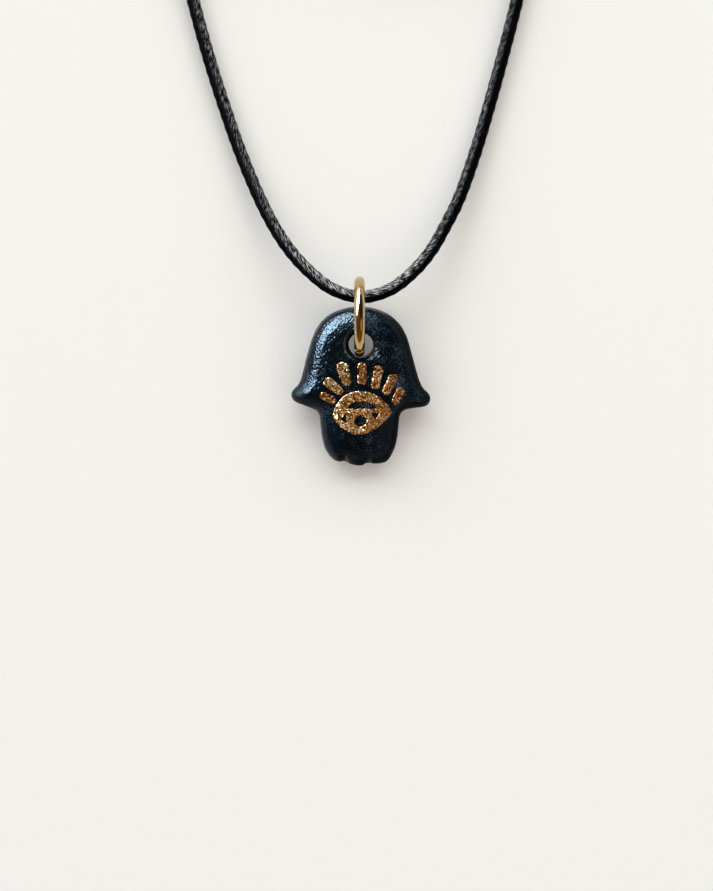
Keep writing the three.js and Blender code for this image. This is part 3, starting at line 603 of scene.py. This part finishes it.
# Painted sheen, pale fibres on the inside of the U where the light falls: the middle of the U, x
# places and how far to the inside the sheen starts at each, and how far along the cord it reaches
BEND_CENTRE = np.array((0, 32, 0))
SHEEN_LIFT = 0.25
SHEEN_X = (-6, 4, 12)
SHEEN_START = (0.0, 0.1, 0.25)
SHEEN_SOFTNESS = 0.45
SHEEN_ON_STRANDS = 0.3
SHEEN_NEAR_RING = 9.0
SHEEN_FADES = (62.0, 50.0)


def coil_route():
    """Turns wound inward, half a turn that climbs, and turns wound outward on top of them."""
    points = []
    turns = COIL_TURNS_IN + COIL_CLIMB + COIL_TURNS_OUT
    for step in range(int(turns * COIL_STEPS) + 1):
        turn = step / COIL_STEPS
        reversing = min(max(turn - COIL_TURNS_IN, 0), COIL_CLIMB)
        outward = max(turn - COIL_TURNS_IN - COIL_CLIMB, 0)
        inward = min(turn, COIL_TURNS_IN) + min(reversing, COIL_CLIMB - reversing)
        radius = COIL_ENTRY_X - COIL_CENTRE[0] + COIL_PITCH * (outward - inward)
        rise = reversing / COIL_CLIMB
        angle = math.tau * turn
        points.append((
            COIL_CENTRE[0] + radius * math.cos(angle),
            COIL_CENTRE[1] + radius * math.sin(angle),
            COIL_LOW + (COIL_HIGH - COIL_LOW) * rise * rise * (3 - 2 * rise),
        ))
    return points


def braid_height(around, along):
    """Height of the braid, 0 to 1: two families of strands that pass over and under each other."""
    rising = BRAID_CARRIERS * (around / math.tau + along / BRAID_LAY)
    falling = BRAID_CARRIERS * (around / math.tau - along / BRAID_LAY)
    over = (np.floor(rising) + np.floor(falling)) % 2 == 0
    across_rising = np.cos(np.pi * (rising % 1 - 0.5))
    across_falling = np.cos(np.pi * (falling % 1 - 0.5))
    width = np.where(over, across_rising, across_falling)
    length = np.where(over, across_falling, across_rising)
    return width ** STRAND_ROUNDNESS * (1 - STRAND_DIP + STRAND_DIP * length)


def painted_fibre_sheen(points, line, along):
    """Painted sheen on the fibres: inside the bend, where the light falls, most at the ring."""
    inside = (BEND_CENTRE - line) * (1, 1, 0)
    inside = inside / np.linalg.norm(inside, axis=1)[:, None] + (0, 0, SHEEN_LIFT)
    inward = np.einsum("ijk,ik->ij", points - line[:, None, :], inside) / (CORD_D / 2)
    start = np.interp(line[:, 0], SHEEN_X, SHEEN_START)
    away = np.abs(along - along[np.argmin(line[:, 1])])
    sheen_strength = SHEEN_ON_STRANDS + (1 - SHEEN_ON_STRANDS) * np.exp(-(away / SHEEN_NEAR_RING) ** 2)
    share = sheen_strength * between(away, *SHEEN_FADES)
    return between(inward - start[:, None], 0, SHEEN_SOFTNESS) * share[:, None]


def make_cord():
    necklace = smooth_line(NECKLACE_ROUTE, CORD_FINE_STEP)
    rest = smooth_line([NECKLACE_ROUTE[-1], *coil_route(), *TAIL_ROUTE], CORD_COARSE_STEP)[1:]
    line = np.vstack([necklace, rest])
    along = lengths_along(line)
    side, up = frames_along(line)
    around, distance = np.meshgrid(turns_of(CORD_SIDES), along)
    radius = CORD_D / 2 - BRAID_RELIEF * (1 - braid_height(around, distance))
    points = line[:, None, :] + radius[..., None] * (
        np.cos(around)[..., None] * side[:, None, :] + np.sin(around)[..., None] * up[:, None, :]
    )
    mesh = mesh_from("cord", points.reshape(-1, 3), tube_faces(len(line), CORD_SIDES))
    layer = mesh.uv_layers.new(name="lay")
    corners = np.empty(len(mesh.loops), int)
    mesh.loops.foreach_get("vertex_index", corners)
    places = np.column_stack([corners % CORD_SIDES / CORD_SIDES, along[corners // CORD_SIDES]])
    layer.data.foreach_set("uv", places.ravel())
    # painted sheen: pale fibres where the light falls
    set_mask(mesh, "lit_fibre_sheen", painted_fibre_sheen(points, line, along).ravel())
    solids = ("cord_necklace", "cord_coil", "cord_tail")
    return add_piece("waxed_cord", mesh, "cord", waxed, solids), line


# Hand and its gold, in the hand's own u (right), v (up from the finger tips) and w (out of the
# palm); a pair of numbers is where a mask starts and where it is full

HAND_TURN = Matrix.Rotation(-HAND_TILT, 3, "X")
TURN_BACK = HAND_TURN.inverted()

# Skin: its growth past the solid, and the fineness and height of its waves
EDGE_GROWTH = 0.09
SKIN_WAVES = [(0.35, 0.05), (1.5, 0.014)]

# Creases: the u and the length of each; their depth and width; the w where they end
CREASES = [(-1.72, 1.9), (0.93, 1.6)]
CREASE_DEPTH = 0.22
CREASE_WIDTH = 0.3
CREASE_FLOOR = 1.0

# Bare clay: how far the edge faces down, its w, and its patches
CLAY_FACING = (0.35, 0.8)
CLAY_HEIGHT = (2.3, 1.4)
CLAY_FINENESS = 0.5
CLAY_CONTRAST = 2.4
CLAY_SHARE = 0.25

# Chips in the glaze: u, v, length, width and slant in degrees of each; the w where they end
CHIPS = [
    (1.9, 12.8, 0.5, 0.13, 60),
    (1.3, 12.2, 0.4, 0.12, 40),
    (2.15, 12.5, 0.25, 0.1, 50),
]
CHIP_FLOOR = 1.5

# Matt glaze with painted shade, darker and without its reflection: the side that it is on, how far
# an edge faces there and up, and x on the left thumb
SHADED_MATT_SIDE = (0.88, -0.48)
SHADED_MATT_FACING = (-0.16, 0.29)
SHADED_MATT_STEEPNESS = (0.92, 0.67)
LEFT_THUMB = (-5.6, -6.8)
THUMB_SHADE_SHARE = 0.5

# Gold: how deep it sits; the fineness and reach of the brush's wavering; where paint was dragged,
# as u, v, reach and the shift along u and v; and how thin the film is, for the eye at two places x
GOLD_SINK = 0.07
BRUSH_WAVER = [(3.0, 0.08), (9.0, 0.03)]
WAVER_OFFSET = Vector((31.7, 0, 0))
DRAGGED_PAINT = [
    (-2.05, 5.3, 0.42, -0.32, 0.0),
    (-1.25, 5.25, 0.35, 0.26, 0.0),
    (-1.7, 4.7, 0.3, 0.0, -0.12),
    (0.25, 9.34, 0.2, 0.0, 0.15),
]
THIN_FILM = {
    "gold_lash_1": 0.8, "gold_lash_2": 0.25, "gold_lash_3": 0.1, "gold_lash_4": 0.9,
    "gold_lash_5": 0.8, "gold_lash_6": 0.85, "gold_lash_7": 1.0,
}
EYE_FILM_X = (-3, -1)
EYE_FILM = (0.25, 0.6)
FILM_FINENESS = 1.1
FILM_SPREAD = 0.3


def hand_place(place):
    return HAND_TURN @ (place - HAND_FOOT)


def uneven(place):
    return sum(height * noise.noise(place * fineness) for fineness, height in SKIN_WAVES)


def crease_depth(place):
    """Shallow creases that run up from the notches between the fingers."""
    u, v, w = hand_place(place)
    if w < CREASE_FLOOR:
        return 0.0
    depth = 0.0
    for middle, length in CREASES:
        across = math.exp(-((u - middle) / CREASE_WIDTH) ** 2)
        depth += CREASE_DEPTH * across * max(0, 1 - v / length)
    return depth


def hand_skin(place):
    return EDGE_GROWTH + uneven(place) - crease_depth(place)


def bare_clay(places, normals):
    """Where the glaze ran thin: patches of the lower edges."""
    heights = np.array([hand_place(Vector(place)).z for place in places])
    patches = np.array([noise.noise(Vector(place) * CLAY_FINENESS) for place in places])
    edges = between(-normals[:, 1], *CLAY_FACING) * between(heights, *CLAY_HEIGHT)
    return edges * np.clip(patches * CLAY_CONTRAST + CLAY_SHARE, 0, 1)


def chipped_glaze(places):
    """Where the lip of the hole is chipped, at the lower right."""
    masks = []
    for place in places:
        u, v, w = hand_place(Vector(place))
        scars = []
        for middle, height, length, width, slant in CHIPS:
            way = np.exp(-1j * math.radians(slant)) * complex(u - middle, v - height)
            scars.append(math.exp(-((way.real / length) ** 2 + (way.imag / width) ** 2)))
        masks.append(max(scars) if w > CHIP_FLOOR else 0.0)
    return masks


def matt_shaded_edge(places, normals):
    """Matt glaze with painted shade, darker and without its reflection: the edges on the right and
    below, and in part the left thumb.
    """
    edge = between(normals[:, :2] @ SHADED_MATT_SIDE, *SHADED_MATT_FACING)
    edge *= between(normals[:, 2], *SHADED_MATT_STEEPNESS)
    return np.maximum(edge, THUMB_SHADE_SHARE * between(places[:, 0], *LEFT_THUMB))


def make_hand():
    mesh = finer_mesh("charm_body", **HAND_MESH)
    push_out(mesh, hand_skin)
    places, normals = points_of(mesh), normals_of(mesh)
    set_mask(mesh, "bare_clay_or_lit_fibre", bare_clay(places, normals))
    # painted shade: the mask of dull, darker edges without reflection
    set_mask(mesh, "matt_and_shade", matt_shaded_edge(places, normals))
    set_mask(mesh, "chipped", chipped_glaze(places))
    add_piece("glazed_hand", mesh, "charm", glaze, ("charm_body",))


def waver(place):
    return Vector((noise.noise(place), noise.noise(place + WAVER_OFFSET), 0))


def stray(place):
    """How far the brush wavered in the plane of the palm, and where it dragged the paint."""
    u, v = hand_place(place).xy
    shift = Vector((0, 0, 0))
    for fineness, reach in BRUSH_WAVER:
        shift += waver(place * fineness) * reach
    for middle, height, reach, across, along in DRAGGED_PAINT:
        share = math.exp(-((u - middle) ** 2 + (v - height) ** 2) / reach ** 2)
        shift += Vector((across, along, 0)) * share
    return shift


def film_thinness(node, places):
    """0 for a thick pale film, 1 for a thin red one; the eye's film is thick at its left end."""
    masks = []
    for place in places:
        thinness = THIN_FILM.get(node, np.interp(place.x, EYE_FILM_X, EYE_FILM))
        masks.append(thinness + FILM_SPREAD * noise.noise(place * FILM_FINENESS))
    return np.clip(masks, 0, 1)


def make_gold(node):
    """A stroke of lustre with a brushed edge, let down on to the uneven glaze."""
    mesh = finer_mesh(node, **GOLD_MESH)
    places = []
    for place in map(Vector, points_of(mesh)):
        shift = stray(place)
        shift.z = EDGE_GROWTH - GOLD_SINK + uneven(place)
        places.append(place + TURN_BACK @ shift)
    move_points(mesh, places)
    set_mask(mesh, "thin", film_thinness(node, places))
    name = node.replace("gold", "lustre")
    add_piece(name, mesh, "charm", lustre, (node,))


# Rings and cord ends

SAWN_END = 0.9

# Section of a cup: the bead at its mouth, two grooves, its rounded floor, its eased lip, and the
# radius at which its flat faces end
CUP_BEAD = 0.18
BEAD_MIDDLE = 0.35
BEAD_HALF = 0.33
BEAD_STEPS = 8
GROOVES = (2.9, 3.4)
GROOVE_HALF = 0.1
GROOVE_DEPTH = 0.07
FLOOR_ROUND = 0.4
FLOOR_STEPS = 6
MOUTH_EASE = 0.05
MOUTH_STEP = 0.02
CUP_AXIS_R = 0.05


def make_ring(name, node, body, first, second, outer, wire, seam_turn):
    """A ring of round wire in the plane of two unit vectors, sawn at a turn, with eased ends."""
    low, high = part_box(node)
    centre = (Vector(low) + Vector(high)) / 2 / MM
    bend = (outer - wire) / 2
    gap = RING_SEAM / bend
    angles = math.tau * seam_turn + gap / 2 + np.linspace(0, math.tau - gap, RING_STEPS)
    sizes = np.full(RING_STEPS, wire / 2)
    sizes[[0, -1]] *= SAWN_END
    points = wire_points(centre, first, second, bend, sizes, angles, RING_SIDES)
    mesh = mesh_from(name, points, tube_faces(RING_STEPS, RING_SIDES))
    add_piece(name, mesh, body, gold, (node,))


def make_rings():
    down, back, left = Vector((0, 0, -1)), Vector((0, -1, 0)), Vector((-1, 0, 0))
    lean = Vector((0, -math.cos(CATCH_LEAN), math.sin(CATCH_LEAN)))
    for node, body, first, second, *sizes in (
        ("jump_ring", "ring", back, down, RING_D, RING_WIRE_D, RING_SEAM_TURN),
        ("link_ring", "link", back, down, LINK_D, LINK_WIRE_D, LINK_SEAM_TURN),
        ("catch_ring", "catch", lean, left, CATCH_D, CATCH_WIRE_D, CATCH_SEAM_TURN),
    ):
        make_ring("gold_" + node, node, body, first, second, *sizes)


def cup_profile():
    """Radius and height along the cup's section: bore, beaded mouth, two grooves, rounded floor."""
    profile = [
        (CUP_AXIS_R, CUP_DEPTH),
        (CUP_BORE_R, CUP_DEPTH),
        (CUP_BORE_R, MOUTH_EASE),
        (CUP_BORE_R + MOUTH_EASE, 0),
        (CUP_R - MOUTH_STEP, 0),
    ]
    for turn in np.linspace(0, math.pi, BEAD_STEPS + 1):
        height = BEAD_MIDDLE - BEAD_HALF * math.cos(turn)
        profile.append((CUP_R + CUP_BEAD * math.sin(turn), height))
    for groove in GROOVES:
        profile += [
            (CUP_R, groove - GROOVE_HALF),
            (CUP_R - GROOVE_DEPTH, groove),
            (CUP_R, groove + GROOVE_HALF),
        ]
    for turn in np.linspace(0, math.pi / 2, FLOOR_STEPS + 1):
        radius = CUP_R - FLOOR_ROUND + FLOOR_ROUND * math.cos(turn)
        profile.append((radius, CUP_LENGTH - FLOOR_ROUND + FLOOR_ROUND * math.sin(turn)))
    profile.append((CUP_AXIS_R, CUP_LENGTH))
    return profile


def make_cord_end(name, node, mouth, upright):
    """A turned cup and the wire eye on its floor."""
    profile = cup_profile()
    cup = []
    for radius, along in profile:
        for turn in turns_of(CUP_SIDES):
            cup.append(mouth + Vector((radius * math.cos(turn), along, -radius * math.sin(turn))))
    first = Vector((0, 1, 0))
    across = Vector((1, 0, 0)) if upright else Vector((0, 0, 1))
    sizes = np.full(EYE_STEPS, EYE_WIRE_D / 2)
    centre, second = mouth + first * EYE_OFFSET, across.cross(first)
    eye = wire_points(centre, first, second, EYE_R, sizes, turns_of(EYE_STEPS), EYE_SIDES)
    faces = tube_faces(len(profile), CUP_SIDES)
    faces += tube_faces(EYE_STEPS, EYE_SIDES, closed=True, start=len(cup))
    mesh = mesh_from(name, np.vstack([cup, eye]), faces)
    add_piece(name, mesh, "cord", gold, (node,))


# Clasp and ties

WEAVE_HEIGHT = 0.035
WEAVE_FINENESS = 14.0


def make_clasp():
    """A softened body and lever; the rivet and the spring show their solids."""
    pieces = (("clasp_body", "gold_clasp", "clasp"), ("clasp_lever", "gold_lever", "lever"))
    for node, name, body in pieces:
        mesh = finer_mesh(node, **CLASP_MESH)
        add_piece(name, mesh, body, gold, (node,))
    for node, material in (("clasp_rivet", gold), ("clasp_spring", steel)):
        nodes[node].data.materials.clear()
        nodes[node].data.materials.append(material)


def woven(place):
    across = math.sin(place.x * WEAVE_FINENESS)
    return WEAVE_HEIGHT * across * math.sin((place.y + place.z) * WEAVE_FINENESS)


def make_ties():
    for node in ("coil_tie_far", "coil_tie_near"):
        mesh = finer_mesh(node, **TIE_MESH)
        push_out(mesh, woven)
        add_piece("woven_" + node, mesh, "cord", strip, (node,))


cord, cord_line = make_cord()
make_hand()
for gold_node in [name for name in nodes if name.startswith("gold_")]:
    make_gold(gold_node)
make_rings()
make_cord_end("gold_left_cup", "cord_end_left", LEFT_CUP, False)
make_cord_end("gold_right_cup", "cord_end_right", RIGHT_CUP, True)
make_clasp()
make_ties()


# Stage: table, light and camera. Directions are an azimuth and an elevation in degrees

# Lights: name, direction, width and height in metres, and radiance; their distance is in metres
TENT_DISTANCE = 1.6
TENT_COLOUR = (0.96, 1.0, 1.0)
TENT = [
    ("tent_roof", (90, 90), (4.0, 4.0), 0.17),
    ("tent_right", (0, 32), (4.0, 1.2), 0.75),
    ("tent_far", (90, 32), (4.0, 1.2), 2.9),
    ("tent_left", (180, 32), (4.0, 1.2), 0.75),
    ("tent_near", (270, 32), (4.0, 1.2), 0.2),
]
WINDOW_DISTANCE = 1.2
WINDOWS = [
    ("window_left", (137, 36), (1.25, 0.45), 62, (0.94, 0.98, 1.0)),
    ("window_far", (106, 17), (0.78, 0.35), 26, (0.97, 0.98, 1.0)),
]

# Room: the direction, inner and outer half angle and colour of each wall, and the horizon
ROOM = (0.05, 0.07, 0.09, 1)
WALLS = {
    "warm ceiling": ((-90, 58), 30, 52, (0.12, 0.055, 0.025, 1)),
    "brown near side": ((-90, 8), 22, 46, (0.26, 0.11, 0.035, 1)),
    "dark far right": ((40, 55), 18, 34, (0.016, 0.011, 0.008, 1)),
    "bright far left": ((132, 12), 18, 38, (1.3, 1.45, 1.55, 1)),
    "warm right": ((-32, 43), 8, 21, (0.85, 0.42, 0.13, 1)),
}
HORIZON = (0.90, 0.89, 0.87, 1)
HORIZON_HEIGHT = (0.14, 0.09)


def make_table():
    corners = [(x * TABLE_HALF, y * TABLE_HALF, 0) for x, y in ((-1, -1), (1, -1), (1, 1), (-1, 1))]
    mesh = mesh_from("table", corners, [(0, 1, 2, 3)])
    table = bpy.data.objects.new("table", mesh)
    bpy.context.scene.collection.objects.link(table)
    mesh.materials.append(table_material())


def heading(azimuth, elevation):
    a, e = math.radians(azimuth), math.radians(elevation)
    return Vector((math.cos(a) * math.cos(e), math.sin(a) * math.cos(e), math.sin(e)))


def make_light(name, direction, distance, size, radiance, colour):
    lamp = bpy.data.lights.new(name, "AREA")
    lamp.shape = "RECTANGLE"
    lamp.size, lamp.size_y = size
    lamp.energy = radiance * math.pi * math.prod(size)
    lamp.color = colour
    holder = bpy.data.objects.new(name, lamp)
    bpy.context.scene.collection.objects.link(holder)
    holder.visible_camera = False
    towards = heading(*direction)
    holder.location = towards * distance
    holder.rotation_euler = towards.to_track_quat("Z", "Y").to_euler()
    return holder


def make_lights():
    """A cloth tent for the soft light, and two windows that show as gloss and light nothing else."""
    for name, direction, size, radiance in TENT:
        cloth = make_light(name, direction, TENT_DISTANCE, size, radiance, TENT_COLOUR)
        cloth.visible_glossy = False
    for name, direction, size, radiance, colour in WINDOWS:
        window = make_light(name, direction, WINDOW_DISTANCE, size, radiance, colour)
        window.visible_diffuse = False
        window.data.cycles.max_bounces = 0


def make_world():
    """A dim room with a pale horizon and walls that the glaze and the gold mirror."""
    world = bpy.data.worlds.new("studio")
    bpy.context.scene.world = world
    world.use_nodes = True
    net = Net(world.node_tree)
    direction = net.add("TexCoord").outputs["Generated"]
    room = ROOM
    for middle, inner, outer, colour in WALLS.values():
        facing = net.dot(direction, heading(*middle))
        edge = math.cos(math.radians(outer)), math.cos(math.radians(inner))
        room = net.mix(net.ease(facing, *edge), room, colour)
    height = net.add("SeparateXYZ", {"Vector": direction}).outputs["Z"]
    room = net.mix(net.ease(height, *HORIZON_HEIGHT), room, HORIZON)
    net.put(world.node_tree.nodes["Background"].inputs["Color"], room)


def make_camera():
    camera = bpy.data.cameras.new("camera")
    holder = bpy.data.objects.new("camera", camera)
    bpy.context.scene.collection.objects.link(holder)
    holder.location = Vector((*VIEW_CENTRE, CAMERA_HEIGHT)) * MM
    camera.sensor_width = SENSOR
    camera.lens = SENSOR * (CAMERA_HEIGHT - VIEW_PLANE) / VIEW_TALL
    camera.clip_start = CAMERA_CLIP * MM
    bpy.context.scene.camera = holder


make_table()
make_lights()
make_world()
make_camera()
bpy.context.scene.view_settings.view_transform = "Standard"
